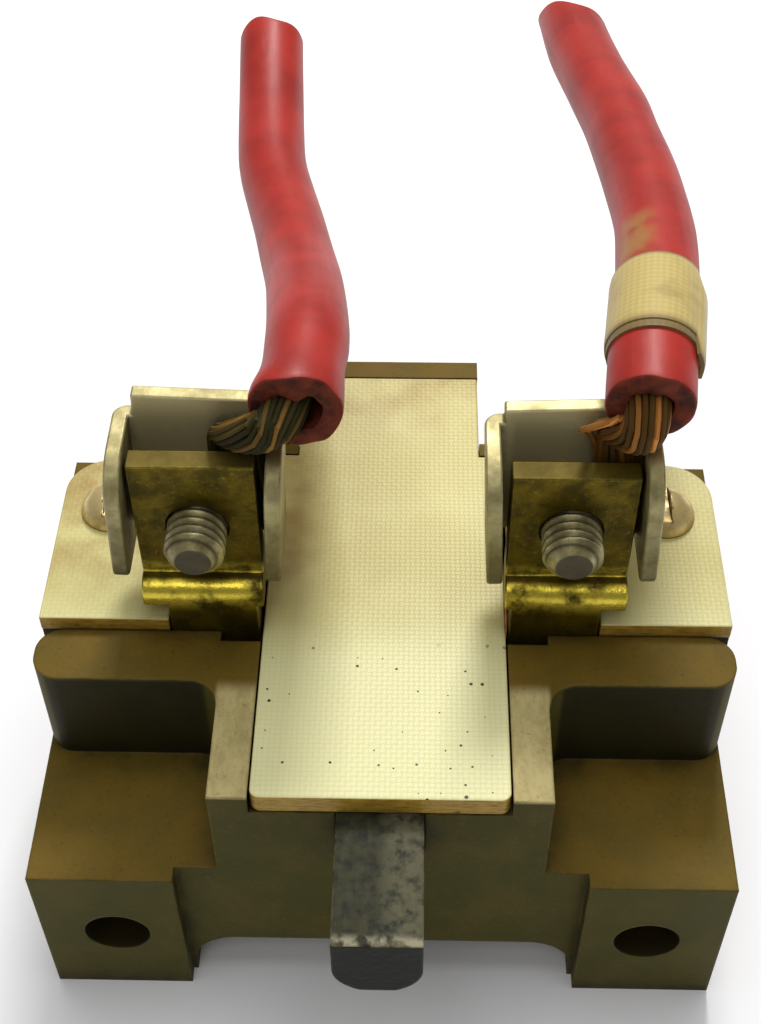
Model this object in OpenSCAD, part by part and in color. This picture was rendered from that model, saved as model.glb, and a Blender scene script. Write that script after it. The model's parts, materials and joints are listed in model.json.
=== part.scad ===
// Knife blade switch block: a spring-returned plunger carries a blade into two jaws,
// and each jaw's contact strip rises to a saddle clamp that holds one stranded wire.
// Lengths in millimetres. X runs across the block, Y from its front to its back, Z up.
// The origin is midway between the two mounting holes, on the front faces of the feet.
// Heights in the source are counted from the underside of the block.

/* [Base moulding] */
// Overall width of the moulding
base_w = 57; // [56:0.5:60]
// Width of each mounting foot
foot_w = 11.8; // [11:0.1:12.5]
// Height of each mounting foot
foot_h = 17.7; // [16.5:0.1:18.5]
// Depth from a foot's front face to the wall above it
foot_d = 12.2; // [11.5:0.1:12.6]
// Height of the deck above the underside
deck_h = 28.2; // [28:0.1:28.4]
// Depth of the front flange
flange_d = 17.2; // [17:0.1:17.3]
// Width of the centre tower
tower_w = 26.4; // [25.8:0.1:27]
// Depth of the moulding, front to back
base_d = 50.2; // [49.8:0.1:51]
// Height of the arch between the feet
arch_h = 5.9; // [4.5:0.1:7]

/* [Mounting holes] */
// Distance between the two mounting holes
hole_spacing = 44.4; // [43.5:0.1:45]
// Mounting hole diameter
hole_d = 5.5; // [4.8:0.1:6]
// Height of the mounting holes above the underside
hole_z = 8.9; // [8.5:0.1:9.5]

/* [Channel cover and terminal boards] */
// Width of the channel cover's front part
cover_w = 19.96; // [19.6:0.02:20]
// Width of the channel cover's rear part
cover_rear_w = 16.5; // [16:0.1:17]
// Thickness of the channel cover
cover_t = 2; // [1.9:0.1:2.2]
// Thickness of each terminal board
board_t = 1.5; // [1.2:0.1:1.8]

/* [Plunger and blade] */
// Plunger width
plunger_w = 6.76; // [6.6:0.02:6.8]
// Plunger height
plunger_h = 7.2; // [7:0.02:7.3]
// Distance the plunger stands in front of the feet
plunger_reach = 9.6; // [9:0.1:11]
// Travel of the plunger
travel = 4.8; // [4:0.1:4.8]
// Thickness of the knife blade
blade_t = 1.6; // [1.5:0.1:1.6]

/* [Terminals] */
// Thickness of the brass contact strip
strip_t = 1.9; // [1.8:0.1:2]
// Distance from the middle of the block to each clamp screw
screw_x = 14.6; // [14.4:0.1:14.8]
// Height of each clamp screw above the underside
screw_z = 38.8; // [38.4:0.1:39.2]
// Top of the left contact strip above the underside
left_strip_top = 45.6; // [44.5:0.1:46]
// Top of the right contact strip above the underside
right_strip_top = 44.8; // [44.5:0.1:46]
// Clamp screw thread diameter
screw_d = 4.8; // [4.7:0.1:4.9]
// Saddle sheet thickness
saddle_t = 1.25; // [1:0.05:1.3]
// Turn of each saddle about its screw, in degrees
saddle_lean = 2.5; // [0:0.5:3]

/* [Wires] */
// Outer diameter of the insulation
wire_d = 6.6; // [6.2:0.1:6.8]
// Outer diameter of the wire marker sleeve
marker_d = 7.8; // [7.4:0.1:8.2]

/* [Hidden] */
$fn = 48;
eps = 0.5;
left = -1;
right = 1;

// Base moulding
half_w = base_w / 2;
foot_x = half_w - foot_w;
tower_x = tower_w / 2;
tower_front = 1.3;
deck_corner_r = 2.2;
inner_fillet_r = 2.5;
arch_x = foot_x - 0.4;
arch_r = 3.9;
block_x = 28.4;
block_back = 36.6;
block_bottom = 14.2;
block_top = deck_h - 0.3;
neck_x = 9.6;
neck_back = 39.2;
tongue_x = cover_rear_w / 2;
rear_wall_t = 2.2;
channel_end = base_d - rear_wall_t;
pocket_x = 6;
pocket_front = 22;
pocket_back = 46;
pocket_h = 16.8;

// Channel, cover and boards
cover_bottom = deck_h - cover_t;
cover_front = 1.4;
cover_step = 37.6;
cover_gap = 0.12;
cover_corner_r = 0.8;
plunger_gap = 0.08;
plunger_top = cover_bottom - plunger_gap;
plunger_bottom = plunger_top - plunger_h;
channel_x = plunger_w / 2 + plunger_gap;
channel_floor = plunger_bottom - plunger_gap;
board_inner_x = 10.3;
board_front = 17.4;
board_back = 35.6;
board_top = block_top + board_t;
board_corner_r = 3.8;
board_screw_x = 23.9;
board_screw_y = 29.6;
board_screw_depth = 9;
board_screw_r = 1.35;
board_screw_hole_r = 1.4;
board_screw_head_r = 2.75;
board_screw_head_h = 2.3;

// Chambers and contact parts
chamber_x = 10.1;
chamber_out_x = 17.9;
chamber_front = 17.2;
chamber_back = 35.2;
chamber_floor = 15.6;
strip_front = 17.3;
strip_x = 10.2;
strip_out_x = 17.5;
plate_x = 9.7;
plate_out_x = 19.5;
shoulder_z = 31.3;
bend_z = 33.6;
bend_r = 1.5;
plate_front = strip_front + strip_t - 0.1;
upright_back = 34.2;
upright_top = 25.2;
blade_z = 22.7;
blade_front = 20.2;
blade_back = 26.2;
blade_x = 16.3;
blade_bevel = 0.8;
jaw_gap = 0.05;
jaw_t = 0.8;
jaw_mouth = 26.5;
jaw_x = 10.7;
jaw_out_x = 16.3;
jaw_back = upright_back - strip_t;
jaw_low = blade_z - blade_t / 2 - jaw_gap - jaw_t;
jaw_high = blade_z + blade_t / 2 + jaw_gap + jaw_t;
rivet_x = (jaw_x + jaw_out_x) / 2;
rivet_r = 0.6;
clip_t = 0.4;
clip_out_x = 17.2;
pin_r = 1;
pin_y = (blade_front + blade_back) / 2;
plunger_back = 29.5;
spigot_r = 1.9;
spigot_l = 4;
spring_r = 2.45;
spring_wire_r = 0.35;
spring_turns = 8;
spring_steps = 14;

// Clamps
strand_gap = 2.6;
saddle_front = plate_front + strip_t + strand_gap;
saddle_back = saddle_front + saddle_t;
wing_front = 17;
wing_in_x = 5.4;
wing_low = -4.4;
wing_high = 7.6;
tab_x = 5.1;
left_tab_high = 9.7;
right_tab_high = 8.9;
wing_round_r = 3.2;
wing_toe_r = 1.3;
screw_tip = 15.5;
screw_tip_chamfer = 0.65;
washer_t = 1.1;
washer_r = 4.1;
washer_in_r = 2.55;
washer_split = 0.9;
head_back = saddle_back + washer_t;
head_h = 2.8;
head_r = 4.4;
head_round = 0.9;
slot_w = 1.2;
slot_depth = 1.3;
strip_bore_r = screw_d / 2 + 0.05;
saddle_hole_r = 2.65;

// Wire routes: the middle of each wire, from its end at the clamp to its far end
left_route = [
    [-6.35, 20.2, 50.25], [-6.2, 25, 50], [-6.1, 29, 49.3], [-6.3, 33, 48], [-6.8, 38, 46],
    [-7.4, 43, 44], [-8.2, 48, 42.3], [-9.3, 54, 40.8], [-10.6, 60, 39.8], [-11.8, 66, 39.3],
    [-12.4, 72, 39.3], [-12.8, 78, 39.8], [-13.2, 86.5, 41.3]
];
right_route = [
    [19.3, 19.9, 51.45], [19.9, 25, 51.8], [20.5, 29, 51.7], [21, 33, 51.3], [21.6, 38, 50.5],
    [22, 43, 49.6], [22, 48, 48.7], [21.8, 54, 47.6], [21.4, 60, 46.5], [21, 66, 45.4],
    [20.3, 72, 44.2], [19.6, 78, 43], [19, 84, 41.9], [18.5, 93, 40.4]
];
// Bare strand routes: from inside the clamp, up over its top and into the insulation
left_strands = [
    [-10.9, 22.25, 36], [-10.9, 22.25, 44.6], [-10.8, 22, 46.2], [-10.2, 21, 47.8],
    [-8.8, 19.2, 49.2], [-7, 19, 50.1], [-6.4, 20.2, 50.3], [-6.2, 22.2, 50.2]
];
right_strands = [
    [18.3, 22.25, 36], [18.3, 22.25, 44.8], [18.3, 22, 46.6], [18.6, 20.8, 48.6],
    [19, 18.8, 50.3], [19.2, 18.9, 51.4], [19.4, 20.3, 51.6], [19.6, 22, 51.7]
];
wire_sides = 12;
strand_r = 1.2;
marker_from = 25.6;
marker_to = 33.6;

// Placing
module in_place() {
    translate([0, 0, -hole_z]) children();
}

module on_side(side) {
    mirror([side < 0 ? 1 : 0, 0, 0]) children();
}

module both_sides() {
    for (side = [left, right]) on_side(side) children();
}

module box(low, high) {
    translate(low) cube(high - low);
}

// A profile drawn in Y and Z, pushed along X
module along_x(from, to) {
    translate([from, 0, 0]) rotate([90, 0, 90]) linear_extrude(to - from) children();
}

// A shape turned about Z, laid along Y
module along_y(from) {
    translate([0, from, 0]) rotate([-90, 0, 0]) children();
}

// The piece between a square corner and its rounding, pointing along (a, b)
module corner(a, b, r) {
    difference() {
        translate([a < 0 ? -r : -eps, b < 0 ? -r : -eps]) square(r + eps);
        translate([a * r, b * r]) circle(r);
    }
}

module upright_corner(x, y, a, b, r, low, high) {
    translate([x, y, low]) linear_extrude(high - low) corner(a, b, r);
}

module across_corner(x0, x1, y, z, a, b, r) {
    translate([0, y, z]) along_x(x0, x1) corner(a, b, r);
}

// Points of an arc from angle a0 to a1
function arc(c, r, a0, a1, steps = 6) =
    [for (i = [0:steps]) c + r * [cos(a0 + (a1 - a0) * i / steps), sin(a0 + (a1 - a0) * i / steps)]];

// Sweeping a round section along a route
function unit(v) = v / norm(v);

function tangent(p, i) = unit(p[min(i + 1, len(p) - 1)] - p[max(i - 1, 0)]);

function ring(centre, t, ref, r, sides) =
    let (across = unit(cross(t, ref)), up = cross(across, t))
    [for (i = [0:sides - 1]) centre + r * (cos(360 * i / sides) * across + sin(360 * i / sides) * up)];

module sweep(route, refs, r, sides) {
    n = len(route);
    points = [for (k = [0:n - 1]) each ring(route[k], tangent(route, k), refs[k], r, sides)];
    walls = [
        for (k = [0:n - 2], i = [0:sides - 1])
            let (j = (i + 1) % sides, a = k * sides, b = a + sides)
            each [[a + i, a + j, b + j], [a + i, b + j, b + i]]
    ];
    start = [[for (i = [sides - 1:-1:0]) i]];
    end = [[for (i = [0:sides - 1]) (n - 1) * sides + i]];
    polyhedron(points, concat(start, walls, end), convexity = 6);
}

module housing() {
    color("#5a4426") in_place() difference() {
        union() {
            box([-half_w, foot_d, 0], [half_w, flange_d, deck_h]);
            box([-foot_x, tower_front, 0], [foot_x, flange_d, foot_h]);
            box([-tower_x, tower_front, 0], [tower_x, flange_d, deck_h]);
            box([-tower_x, flange_d, 0], [tower_x, block_back, block_top]);
            box([-block_x, flange_d, block_bottom], [block_x, block_back, block_top]);
            box([-neck_x, block_back, 0], [neck_x, neck_back, deck_h]);
            box([-tongue_x, neck_back, 0], [tongue_x, base_d, deck_h]);
            both_sides() box([foot_x, 0, 0], [half_w, flange_d, foot_h]);
            both_sides() upright_corner(tower_x, foot_d, 1, -1, inner_fillet_r, foot_h, deck_h);
        }
        both_sides() upright_corner(half_w, foot_d, -1, 1, deck_corner_r, foot_h, deck_h + eps);
        both_sides() upright_corner(half_w, flange_d, -1, -1, deck_corner_r, foot_h, deck_h + eps);
        arch();
        both_sides() mounting_hole();
        channel();
        both_sides() chamber();
        both_sides() board_screw_hole();
        box([-pocket_x, pocket_front, -eps], [pocket_x, pocket_back, pocket_h]);
    }
}

module arch() {
    difference() {
        box([-arch_x, -eps, -eps], [arch_x, flange_d + eps, arch_h]);
        box([-tower_x, flange_d, -1], [tower_x, flange_d + 1, arch_h + 1]);
        both_sides() translate([arch_x, flange_d + 1, arch_h]) rotate([90, 0, 0])
            linear_extrude(flange_d + 2) corner(-1, -1, arch_r);
    }
}

module mounting_hole() {
    translate([hole_spacing / 2, 0, hole_z]) along_y(-eps) cylinder(r = hole_d / 2, h = flange_d + 2 * eps);
}

module channel() {
    rebate_x = cover_w / 2 + cover_gap;
    box([-channel_x, 0, channel_floor], [channel_x, channel_end, deck_h + eps]);
    box([-rebate_x, 0, cover_bottom], [rebate_x, cover_step + cover_gap, deck_h + eps]);
    box([-tongue_x, cover_step - eps, cover_bottom], [tongue_x, channel_end, deck_h + eps]);
}

module chamber() {
    slot_top = deck_h + eps;
    box([chamber_x, chamber_front, chamber_floor], [chamber_out_x, chamber_back, slot_top]);
    box([chamber_x, flange_d - 1, chamber_floor], [13.4, chamber_front + eps, slot_top]);
    box([0, blade_front - 0.05, blade_z - blade_t / 2 - 0.2],
        [chamber_x + eps, blade_back + travel + 0.15, slot_top]);
}

module board_screw_hole() {
    translate([board_screw_x, board_screw_y, board_top - board_screw_depth - 0.5])
        cylinder(r = board_screw_hole_r, h = board_screw_depth + eps);
}

module channel_cover() {
    color("#e6dcb4") in_place() {
        difference() {
            box([-cover_w / 2, cover_front, cover_bottom], [cover_w / 2, cover_step, deck_h]);
            both_sides()
                upright_corner(cover_w / 2, cover_front, -1, 1, cover_corner_r, cover_bottom - 1, deck_h + 1);
        }
        box([-tongue_x + 0.05, cover_step, cover_bottom], [tongue_x - 0.05, channel_end - 0.05, deck_h]);
    }
}

module terminal_board(side) {
    color("#e8dfae") in_place() on_side(side) difference() {
        box([board_inner_x, board_front, block_top], [block_x, board_back, board_top]);
        box([0, 0, block_top - 1], [strip_out_x + 0.15, strip_front + strip_t + 0.1, board_top + 1]);
        upright_corner(block_x, board_back, -1, -1, board_corner_r, block_top - 1, board_top + 1);
        translate([board_screw_x, board_screw_y, block_top - 1]) cylinder(r = 1.5, h = board_t + 2);
    }
}

module board_screw(side) {
    dome_r = (pow(board_screw_head_r, 2) + pow(board_screw_head_h, 2)) / (2 * board_screw_head_h);
    color("#b39b53") in_place() on_side(side) translate([board_screw_x, board_screw_y, board_top]) {
        difference() {
            intersection() {
                translate([0, 0, board_screw_head_h - dome_r]) sphere(dome_r);
                cylinder(r = board_screw_head_r, h = board_screw_head_h + 1);
            }
            box([-0.4, -board_screw_head_r, board_screw_head_h - 0.9],
                [0.4, board_screw_head_r, board_screw_head_h + 1]);
        }
        translate([0, 0, -board_screw_depth]) cylinder(r = board_screw_r, h = board_screw_depth);
    }
}

module plunger() {
    half = plunger_w / 2;
    keel_r = 3.5;
    nose_r = 0.4;
    color("#26251f") in_place() difference() {
        union() {
            box([-half, -plunger_reach, plunger_bottom], [half, plunger_back, plunger_top]);
            translate([0, 0, blade_z]) along_y(plunger_back) cylinder(r = spigot_r, h = spigot_l);
        }
        both_sides() translate([half, plunger_back + 1, plunger_bottom]) rotate([90, 0, 0])
            linear_extrude(plunger_back + plunger_reach + 2) corner(-1, 1, keel_r);
        across_corner(-half - 1, half + 1, -plunger_reach, plunger_bottom, 1, 1, nose_r);
        box([-half - 1, blade_front, blade_z - blade_t / 2], [half + 1, blade_back, blade_z + blade_t / 2]);
        translate([0, pin_y, plunger_bottom - 1]) cylinder(r = pin_r, h = plunger_h + 2);
    }
}

module knife_blade() {
    low = blade_z - blade_t / 2;
    high = blade_z + blade_t / 2;
    edge = 0.45;
    color("#b8864a") in_place() difference() {
        along_x(-blade_x, blade_x) polygon([
            [blade_front, low], [blade_back - blade_bevel, low], [blade_back, low + edge],
            [blade_back, high - edge], [blade_back - blade_bevel, high], [blade_front, high]
        ]);
        translate([0, pin_y, low - 1]) cylinder(r = pin_r, h = blade_t + 2);
    }
}

module blade_pin() {
    color("#8f8f88") in_place() translate([0, pin_y, plunger_bottom + 0.3])
        cylinder(r = pin_r, h = plunger_h - 0.6);
}

module return_spring() {
    first = plunger_back + spring_wire_r;
    last = channel_end - spring_wire_r;
    count = spring_turns * spring_steps;
    turns = [for (k = [0:count]) 360 * k / spring_steps];
    out = [for (a = turns) [cos(a), 0, sin(a)]];
    route = [for (k = [0:count]) spring_r * out[k] + [0, first + (last - first) * k / count, blade_z]];
    color("#a8a8a0") in_place() sweep(route, out, spring_wire_r, 6);
}

// Side view of a contact strip, from the clamp's top down, along the chamber floor and up
function strip_outline(top) = concat(
    [[strip_front, chamber_floor]],
    arc([strip_front + bend_r, bend_z - bend_r], bend_r, 180, 90),
    [[plate_front, bend_z], [plate_front, top], [plate_front + strip_t, top]],
    [[plate_front + strip_t, bend_z - 0.2]],
    arc([plate_front + strip_t - bend_r, bend_z - 0.4], bend_r, 0, -90),
    [[strip_front + strip_t, bend_z - bend_r - 0.4], [strip_front + strip_t, chamber_floor + strip_t]],
    [[jaw_back, chamber_floor + strip_t], [jaw_back, upright_top]],
    [[upright_back, upright_top], [upright_back, chamber_floor]]
);

module contact_strip(side, top) {
    color("#8c7a28") in_place() on_side(side) difference() {
        along_x(plate_x, plate_out_x) polygon(strip_outline(top));
        box([strip_out_x, 0, 0], [plate_out_x + 1, base_d, shoulder_z]);
        box([plate_x - 1, 0, 0], [strip_x, base_d, shoulder_z]);
        translate([screw_x, 0, screw_z]) along_y(strip_front) cylinder(r = strip_bore_r, h = 2 * strip_t + 1);
        translate([rivet_x, 0, blade_z]) along_y(jaw_back - 1) cylinder(r = rivet_r, h = strip_t + 2);
    }
}

// Side view of a jaw: a web with two leaves that open towards the blade
module blade_jaw(side) {
    web_front = jaw_back - jaw_t;
    flare = 0.5;
    flare_l = 1;
    color("#c79a4b") in_place() on_side(side) difference() {
        along_x(jaw_x, jaw_out_x) polygon([
            [jaw_back, jaw_low], [jaw_back, jaw_high], [jaw_mouth + flare_l, jaw_high],
            [jaw_mouth, jaw_high + flare], [jaw_mouth, jaw_high + flare - jaw_t],
            [jaw_mouth + flare_l, jaw_high - jaw_t], [web_front, jaw_high - jaw_t],
            [web_front, jaw_low + jaw_t], [jaw_mouth + flare_l, jaw_low + jaw_t],
            [jaw_mouth, jaw_low - flare + jaw_t], [jaw_mouth, jaw_low - flare],
            [jaw_mouth + flare_l, jaw_low]
        ]);
        translate([rivet_x, 0, blade_z]) along_y(web_front - 1) cylinder(r = rivet_r, h = jaw_t + 2);
    }
}

module jaw_rivet(side) {
    web_front = jaw_back - jaw_t;
    color("#b58d45") in_place() on_side(side) translate([rivet_x, 0, blade_z]) {
        along_y(web_front - 0.3) cylinder(r = 0.8, h = 0.3);
        along_y(web_front) cylinder(r = rivet_r, h = upright_back - web_front);
        along_y(upright_back) cylinder(r = 1.3, h = 0.7);
    }
}

// Steel clip that squeezes the jaw's leaves together
module jaw_spring(side) {
    front = 28.2;
    back = 30.8;
    color("#9a9a94") in_place() on_side(side) {
        box([jaw_x + 0.5, front, jaw_high], [clip_out_x, back, jaw_high + clip_t]);
        box([jaw_x + 0.5, front, jaw_low - clip_t], [clip_out_x, back, jaw_low]);
        box([clip_out_x - clip_t, front, jaw_low - clip_t], [clip_out_x, back, jaw_high + clip_t]);
    }
}

// Folded steel saddle: a back plate with a tab above and a wing down each side of the strip
module wire_saddle(side, tab_high) {
    wing_out_x = wing_in_x + saddle_t;
    color("#a9a592") in_place() on_side(side) translate([screw_x, 0, screw_z]) rotate([0, -saddle_lean, 0])
        difference() {
            union() {
                box([-wing_out_x, wing_front, wing_low], [wing_out_x, saddle_back, wing_high]);
                box([-tab_x, saddle_front, 0], [tab_x, saddle_back, tab_high]);
            }
            box([-wing_in_x, wing_front - 1, wing_low - 1], [wing_in_x, saddle_front, wing_high + 1]);
            across_corner(-wing_out_x - 1, wing_out_x + 1, wing_front, wing_high, 1, -1, wing_round_r);
            across_corner(-wing_out_x - 1, wing_out_x + 1, wing_front, wing_low, 1, 1, wing_toe_r);
            for (a = [-1, 1])
                upright_corner(a * wing_out_x, saddle_back, -a, -1, saddle_t, wing_low - 1, wing_high + 1);
            along_y(saddle_front - 1) cylinder(r = saddle_hole_r, h = saddle_t + 2);
        }
}

module lock_washer(side) {
    color("#8e8c80") in_place() on_side(side) translate([screw_x, 0, screw_z]) difference() {
        along_y(saddle_back) cylinder(r = washer_r, h = washer_t);
        along_y(saddle_back - 1) cylinder(r = washer_in_r, h = washer_t + 2);
        box([-washer_split / 2, saddle_back - 1, 0], [washer_split / 2, head_back + 1, washer_r + 1]);
    }
}

module clamp_screw(side) {
    shank_l = head_back - screw_tip;
    thread_r = screw_d / 2;
    color("#9c9a8a") in_place() on_side(side) translate([screw_x, 0, screw_z]) difference() {
        along_y(screw_tip) rotate_extrude() polygon(concat(
            [[0, 0], [thread_r - screw_tip_chamfer, 0], [thread_r, screw_tip_chamfer], [thread_r, shank_l]],
            [[head_r, shank_l]],
            arc([head_r - head_round, shank_l + head_h - head_round], head_round, 0, 90),
            [[0, shank_l + head_h]]
        ));
        box([-head_r - 1, head_back + head_h - slot_depth, -slot_w / 2],
            [head_r + 1, head_back + head_h + 1, slot_w / 2]);
    }
}

function same_ref(route, ref) = [for (p = route) ref];

module wire(route) {
    color("#a8232b") in_place() sweep(route, same_ref(route, [0, 0, 1]), wire_d / 2, wire_sides);
}

module wire_strands(route) {
    color("#6b4a2c") in_place() sweep(route, same_ref(route, [1, 0, 0]), strand_r, 8);
}

// A sleeve round the wire, laid along the chord of the stretch it covers
module wire_marker(route) {
    a = lookup_point(route, marker_from);
    b = lookup_point(route, marker_to);
    d = b - a;
    color("#e3d79a") in_place() translate(a) rotate([0, acos(d[2] / norm(d)), atan2(d[1], d[0])]) difference() {
        cylinder(r = marker_d / 2, h = norm(d));
        translate([0, 0, -1]) cylinder(r = wire_d / 2, h = norm(d) + 2);
    }
}

// The point of a route at a given depth
function lookup_point(route, y) = [
    lookup(y, [for (p = route) [p[1], p[0]]]), y, lookup(y, [for (p = route) [p[1], p[2]]])
];

housing();
channel_cover();
terminal_board(left);  // left_terminal_board
terminal_board(right);  // right_terminal_board
board_screw(left);  // left_board_screw
board_screw(right);  // right_board_screw
plunger();
knife_blade();
blade_pin();
return_spring();
contact_strip(left, left_strip_top);  // left_contact_strip
contact_strip(right, right_strip_top);  // right_contact_strip
blade_jaw(left);  // left_blade_jaw
blade_jaw(right);  // right_blade_jaw
jaw_rivet(left);  // left_jaw_rivet
jaw_rivet(right);  // right_jaw_rivet
jaw_spring(left);  // left_jaw_spring
jaw_spring(right);  // right_jaw_spring
wire_saddle(left, left_tab_high);  // left_wire_saddle
wire_saddle(right, right_tab_high);  // right_wire_saddle
lock_washer(left);  // left_lock_washer
lock_washer(right);  // right_lock_washer
clamp_screw(left);  // left_clamp_screw
clamp_screw(right);  // right_clamp_screw
wire(left_route);  // left_wire
wire(right_route);  // right_wire
wire_strands(left_strands);  // left_wire_strands
wire_strands(right_strands);  // right_wire_strands
wire_marker(right_route);  // right_wire_marker
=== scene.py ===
"""Knife blade switch block: the finished look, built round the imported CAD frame.

All sizes are in metres: X runs across the block, Y from the front to the back, Z up, and the
origin is midway between the two mounting holes. The sections follow the block as it is put
together, and each one holds its piece's sizes, shape, finish and place."""
import json
from math import pi, radians

import bmesh
import bpy
import numpy as np
from mathutils import Matrix


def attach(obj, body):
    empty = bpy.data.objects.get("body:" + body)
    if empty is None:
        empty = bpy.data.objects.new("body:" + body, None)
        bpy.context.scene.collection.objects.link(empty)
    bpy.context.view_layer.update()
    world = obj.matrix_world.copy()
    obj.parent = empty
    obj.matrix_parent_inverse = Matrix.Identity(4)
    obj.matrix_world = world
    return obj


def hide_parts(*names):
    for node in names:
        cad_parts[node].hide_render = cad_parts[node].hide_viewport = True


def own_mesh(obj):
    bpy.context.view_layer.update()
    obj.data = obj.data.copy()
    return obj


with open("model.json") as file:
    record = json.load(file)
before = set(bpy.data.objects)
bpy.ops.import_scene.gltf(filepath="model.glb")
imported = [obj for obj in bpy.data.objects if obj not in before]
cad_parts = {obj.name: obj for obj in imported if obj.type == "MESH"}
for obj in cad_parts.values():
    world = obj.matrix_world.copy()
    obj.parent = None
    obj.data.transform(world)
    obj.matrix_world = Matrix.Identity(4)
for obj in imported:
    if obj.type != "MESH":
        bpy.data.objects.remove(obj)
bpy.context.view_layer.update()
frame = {"nodes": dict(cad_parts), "record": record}
MM = 0.001

# ---- Camera ---------------------------------------------------------------------------------
# It looks down on the block from in front, from about a hand's length away.
camera_data = bpy.data.cameras.new("camera")
camera_data.lens = 55.06
camera_data.sensor_width = 36.0
camera_data.clip_start = 0.005
camera = bpy.data.objects.new("camera", camera_data)
camera.matrix_world = (
    Matrix.Translation((0.00215, -0.06198, 0.1213)) @ Matrix.Rotation(radians(1.7), 4, "Z")
    @ Matrix.Rotation(radians(42.26), 4, "X") @ Matrix.Rotation(radians(-0.59), 4, "Z"))
bpy.context.scene.collection.objects.link(camera)
bpy.context.scene.camera = camera
bpy.context.scene.view_settings.view_transform = "Standard"


# ---- Red wires ------------------------------------------------------------------------------
# Two stubs of stranded copper wire in red PVC. The strands leave each cut jacket, turn down
# and are flattened between the brass strip and the steel saddle; the far ends are cut off.
def smooth_path(points, step):
    """A Catmull-Rom curve through points in millimetres, cut at even steps: in each span it is
    half of 2b + (c - a)t + (2a - 5b + 4c - d)t^2 + (3b - a - 3c + d)t^3. Returns the points
    in metres and the distance run at each."""
    p = np.asarray(points, float) * MM
    p = np.vstack([2 * p[0] - p[1], p, 2 * p[-1] - p[-2]])
    t = np.linspace(0, 1, 24, endpoint=False)[None, :, None]
    a, b, c, d = (p[i:len(p) - 3 + i, None] for i in range(4))
    curve = 0.5 * (2 * b + (c - a) * t + (2 * a - 5 * b + 4 * c - d) * t ** 2
                   + (3 * b - a - 3 * c + d) * t ** 3)
    curve = np.vstack([curve.reshape(-1, 3), p[-2]])
    run = np.concatenate([[0], np.cumsum(np.linalg.norm(np.diff(curve, axis=0), axis=1))])
    even = np.linspace(0, run[-1], int(round(run[-1] / step)) + 1)
    return np.column_stack([np.interp(even, run, curve[:, k]) for k in range(3)]), even


def path_axes(path):
    """At each point of a path: across, which is world X made square to the path, and over,
    which is across crossed with the path's direction, so that it points up off a level wire."""
    along = np.gradient(path, axis=0)
    along /= np.linalg.norm(along, axis=1, keepdims=True)
    across = np.array([1.0, 0, 0]) - along * along[:, :1]
    across /= np.linalg.norm(across, axis=1, keepdims=True)
    return across, np.cross(across, along)


def surface(name, grids, lay=None, marks=None, ring=False):
    """One mesh from grids of points, rows by columns. Columns close on themselves; first and
    last rows are capped, or joined to each other when ring is set. lay gives each grid's UV
    map in metres with one column more, and marks give point attributes."""
    points, faces, corners, start = [], [], [], 0
    for number, grid in enumerate(grids):
        rows, columns = grid.shape[:2]
        index = start + np.arange(rows * columns).reshape(rows, columns)
        index = np.hstack([index, index[:, :1]])
        if ring:
            index = np.vstack([index, index[:1]])
        quads = np.stack([index[:-1, :-1], index[1:, :-1], index[1:, 1:], index[:-1, 1:]], axis=-1)
        faces += quads.reshape(-1, 4).tolist()
        if lay is not None:
            uv = lay[number]
            corners.append(np.stack([uv[:-1, :-1], uv[1:, :-1], uv[1:, 1:], uv[:-1, 1:]],
                                    axis=2).reshape(-1, 2))
        if not ring:
            faces += [index[0, :-1].tolist(), index[-1, :-1][::-1].tolist()]
            if lay is not None:
                corners += [uv[0, :-1], uv[-1, :-1][::-1]]
        points.append(grid.reshape(-1, 3))
        start += rows * columns
    mesh = bpy.data.meshes.new(name)
    mesh.from_pydata(np.vstack(points).tolist(), [], faces)
    if lay is not None:
        mesh.uv_layers.new(name="lay").data.foreach_set("uv", np.vstack(corners).ravel())
    for mark, values in (marks or {}).items():
        layer = mesh.attributes.new(mark, "FLOAT", "POINT")
        layer.data.foreach_set("value", np.concatenate([v.ravel() for v in values]))
    work = bmesh.new()
    work.from_mesh(mesh)
    bmesh.ops.recalc_face_normals(work, faces=work.faces)
    work.to_mesh(mesh)
    work.free()
    return mesh


def piece(name, mesh, material, smooth_below=38):
    """An object at the origin for a finished mesh; edges sharper than smooth_below degrees
    stay crisp."""
    mesh.shade_smooth()
    mesh.set_sharp_from_angle(angle=radians(smooth_below))
    mesh.materials.clear()
    mesh.materials.append(material)
    made = bpy.data.objects.new(name, mesh)
    bpy.context.scene.collection.objects.link(made)
    return made


def paint(code):
    """A colour given as a hex code, in linear light."""
    srgb = np.array([int(code[i:i + 2], 16) for i in (0, 2, 4)]) / 255
    return (*np.where(srgb < 0.04045, srgb / 12.92, ((srgb + 0.055) / 1.055) ** 2.4), 1.0)


def add(tree, kind, inputs=None, **settings):
    """Adds a shader node: settings are its own, inputs are values or the sockets that feed it."""
    node = tree.nodes.new("ShaderNode" + kind)
    for key, value in settings.items():
        setattr(node, key, value)
    for key, value in (inputs or {}).items():
        if isinstance(value, bpy.types.NodeSocket):
            tree.links.new(value, node.inputs[key])
        else:
            node.inputs[key].default_value = value
    return node


def sums(tree, operation, a, b=0.0, clamp=False):
    """One step of arithmetic on values."""
    return add(tree, "Math", {0: a, 1: b}, operation=operation, use_clamp=clamp).outputs[0]


def laid_over(tree, factor, under, over, how="MIX"):
    """The colour under, with the colour over laid on it by factor."""
    return add(tree, "Mix", {0: factor, 6: under, 7: over}, data_type="RGBA",
               blend_type=how).outputs[2]


def tinted(tree, mask, amount, colour, code):
    """The colour with the paint code laid over it by mask times amount."""
    return laid_over(tree, sums(tree, "MULTIPLY", mask, amount), colour, paint(code))


def parts(tree, vector):
    """The X, Y and Z of a vector."""
    return add(tree, "SeparateXYZ", {0: vector}).outputs


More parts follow.
